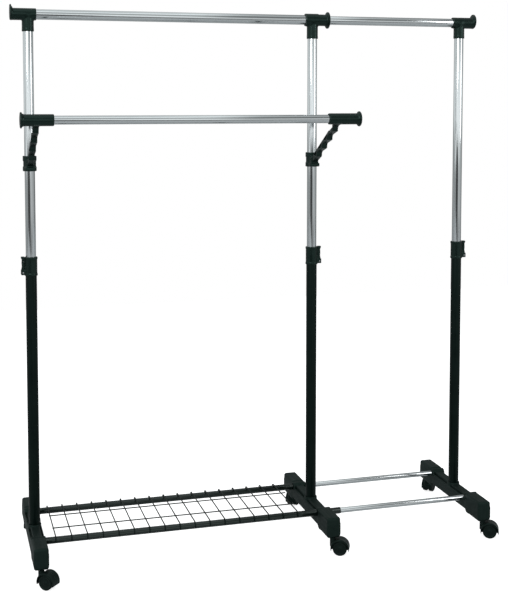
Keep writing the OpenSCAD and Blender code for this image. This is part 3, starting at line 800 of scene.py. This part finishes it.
def stem_and_trail(name):
    """Where a caster's stem stands and the way its wheels trail from it."""
    side, end = name.split("_")[:2]
    wheels = middle_of(name + "_wheels")
    low, high = low_high(side + "_foot")
    stem = np.array([POST[side][0], POST_Y + (1 if end == "back" else -1) * ((high[1] - low[1]) / 2 - 13.5)])
    return stem, wheels[:2] - stem


# ---------------------------------------------------------------- finishes of the pieces kept from the CAD

def finish_small_parts():
    glides = ("upper_post_glides", "right_post_glide")
    for node in ["main_lever_pins", "right_lever_pin", "foot_screws", "right_foot_screw", "bracket_screws",
                 *glides, *(side + "_" + end + "_caster_pins" for side in SIDES for end in ENDS)]:
        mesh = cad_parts[node].data
        mesh.materials.clear()
        mesh.materials.append(FITTING if node in glides else ZINC)


# ---------------------------------------------------------------- camera, light and floor

def studio_world(scene):
    """White to the camera; in reflections, a dim gap where the camera stands between two tall softboxes."""
    world = bpy.data.worlds.new("studio_world")
    scene.world = world
    world.use_nodes = True
    nodes, links = world.node_tree.nodes, world.node_tree.links
    split = nodes.new("ShaderNodeSeparateXYZ")
    links.new(nodes.new("ShaderNodeTexCoord").outputs["Generated"], split.inputs["Vector"])

    def ramp(axis, stops):
        scaled = nodes.new("ShaderNodeMapRange")
        scaled.inputs["From Min"].default_value = -1.0
        links.new(split.outputs[axis], scaled.inputs["Value"])
        node = nodes.new("ShaderNodeValToRGB")
        while len(node.color_ramp.elements) < len(stops):
            node.color_ramp.elements.new(0.5)
        for element, (position, grey) in zip(node.color_ramp.elements, stops):
            element.position = (position + 1) / 2
            element.color = (grey * 0.985, grey, grey, 1)
        links.new(scaled.outputs["Result"], node.inputs["Fac"])
        return node.outputs["Color"]

    def mix(factor, a, b, kind="MIX"):
        node = nodes.new("ShaderNodeMix")
        node.data_type, node.blend_type = "RGBA", kind
        colours = [socket for socket in node.inputs if socket.type == "RGBA"]
        if isinstance(factor, float):
            node.inputs[0].default_value = factor
        else:
            links.new(factor, node.inputs[0])
        links.new(a, colours[0])
        links.new(b, colours[1])
        return [socket for socket in node.outputs if socket.type == "RGBA"][0]

    front = mix(ramp("Z", [(-0.085, 0.0), (-0.03, 1.0)]), ramp("X", LOW_ROW), ramp("X", MIDDLE_ROW))
    front = mix(ramp("Z", [(-0.015, 0.0), (0.045, 1.0)]), front, ramp("X", TOP_ROW))
    over = mix(1.0, ramp("Z", CEILING), ramp("X", FADE), "MULTIPLY")
    front = mix(ramp("Z", [(0.12, 0.0), (0.28, 1.0)]), front, over)
    front = mix(ramp("Z", [(-0.32, 0.0), (-0.20, 1.0)]), ramp("Z", [(-1.0, 0.2), (-0.2, 0.12)]), front)
    behind = mix(1.0, ramp("Z", BEHIND), ramp("X", FADE), "MULTIPLY")
    room = mix(ramp("Y", [(-0.05, 0.0), (0.30, 1.0)]), front, behind)
    room = mix(1.0, room, ramp("Y", [(0.80, 1.0), (0.97, 0.45)]), "MULTIPLY")
    lit, seen, out = nodes["Background"], nodes.new("ShaderNodeBackground"), nodes["World Output"]
    links.new(room, lit.inputs["Color"])
    seen.inputs["Color"].default_value = (1.0, 1.0, 1.0, 1)
    choose = nodes.new("ShaderNodeMixShader")
    links.new(nodes.new("ShaderNodeLightPath").outputs["Is Camera Ray"], choose.inputs["Fac"])
    links.new(lit.outputs["Background"], choose.inputs[1])
    links.new(seen.outputs["Background"], choose.inputs[2])
    links.new(choose.outputs["Shader"], out.inputs["Surface"])


# brightness from left to right in front of the rack: above eye level, at it and below it
TOP_ROW = [(-1.0, 0.45), (-0.85, 0.85), (-0.60, 0.95), (-0.30, 0.78), (-0.08, 1.0), (0.26, 0.95), (0.37, 0.62),
           (0.80, 0.70), (1.0, 0.5)]
MIDDLE_ROW = [(-1.0, 0.85), (-0.90, 0.85), (-0.78, 0.09), (-0.10, 0.07), (0.04, 0.95), (0.28, 0.90), (0.38, 0.62),
              (0.66, 0.40)]
LOW_ROW = [(-1.0, 0.28), (-0.85, 0.30), (-0.76, 0.05), (-0.10, 0.05), (0.04, 0.42), (0.5, 0.46), (1.0, 0.34)]
# brightness by height over the rack, how it fades from left to right, and brightness by height behind it
CEILING = [(0.12, 1.0), (0.42, 0.42), (0.74, 0.34), (0.84, 1.0), (0.93, 1.0), (1.0, 0.45)]
FADE = [(-1.0, 0.9), (0.26, 1.0), (0.38, 0.46), (1.0, 0.46)]
BEHIND = [(-1.0, 0.30), (-0.05, 0.34), (0.0, 0.40), (0.05, 0.75), (0.3, 0.60), (0.6, 0.50), (1.0, 0.65)]


def studio():
    scene = bpy.context.scene
    scene.view_settings.view_transform = "Standard"
    studio_world(scene)
    floor = bpy.data.meshes.new("floor")
    floor.from_pydata([(-4, -2.6, 0), (4, -2.6, 0), (4, 4, 0), (-4, 4, 0)], [], [(0, 1, 2, 3)])
    thing = bpy.data.objects.new("studio_floor", floor)
    scene.collection.objects.link(thing)
    s = Shader("pale_floor")
    s.set(Roughness=0.9, Specular_IOR_Level=0.1, Emission_Color=(1, 1, 1, 1), Emission_Strength=0.80)
    s.colour(s.ramp(s.noise(3, 3), [(0.3, (0.93, 0.93, 0.93)), (0.7, (0.96, 0.96, 0.96))]))
    grey = s.nodes.new("ShaderNodeBsdfDiffuse")
    grey.inputs["Color"].default_value = (0.56, 0.57, 0.58, 1)
    choose = s.nodes.new("ShaderNodeMixShader")
    s.links.new(s.nodes.new("ShaderNodeLightPath").outputs["Is Camera Ray"], choose.inputs["Fac"])
    s.links.new(grey.outputs["BSDF"], choose.inputs[1])
    s.links.new(s.shader.outputs["BSDF"], choose.inputs[2])
    s.links.new(choose.outputs["Shader"], s.nodes["Material Output"].inputs["Surface"])
    floor.materials.append(s.material)
    for name, where, aim, wide, high, power in (
            ("key", (-2.6, -3.2, 3.4), (0, 0, 0.8), 1.4, 2.2, 45),
            ("fill", (3.2, -2.6, 2.4), (0, 0, 0.8), 1.0, 2.4, 20)):
        light = bpy.data.lights.new(name, "AREA")
        light.shape = "RECTANGLE"
        light.size, light.size_y, light.energy = wide, high, power
        lamp = bpy.data.objects.new(name, light)
        lamp.location = where
        lamp.rotation_euler = (Vector(aim) - Vector(where)).to_track_quat("-Z", "Y").to_euler()
        scene.collection.objects.link(lamp)


def camera():
    """The camera stands left of the rack's middle, a little below its top, and looks slightly down."""
    scene = bpy.context.scene
    data = bpy.data.cameras.new("camera")
    data.sensor_width = 36.0
    focal_pixels, frame_long = 1129.0, 600.0
    data.lens = focal_pixels * data.sensor_width / frame_long
    data.shift_y = -0.20
    yaw, pitch = math.radians(15.83), math.radians(3.97)
    eye = bpy.data.objects.new("camera", data)
    left = POST["left"] * MM
    eye.location = (left[0] - 0.261, left[1] - 3.261, 1.329)
    look = Vector((math.sin(yaw) * math.cos(pitch), math.cos(yaw) * math.cos(pitch), -math.sin(pitch)))
    eye.rotation_euler = look.to_track_quat("-Z", "Y").to_euler()
    scene.collection.objects.link(eye)
    scene.camera = eye


camera()
studio()
tubes()
feet()
clamps()
tees()
brackets()
shelf()
casters()
finish_small_parts()
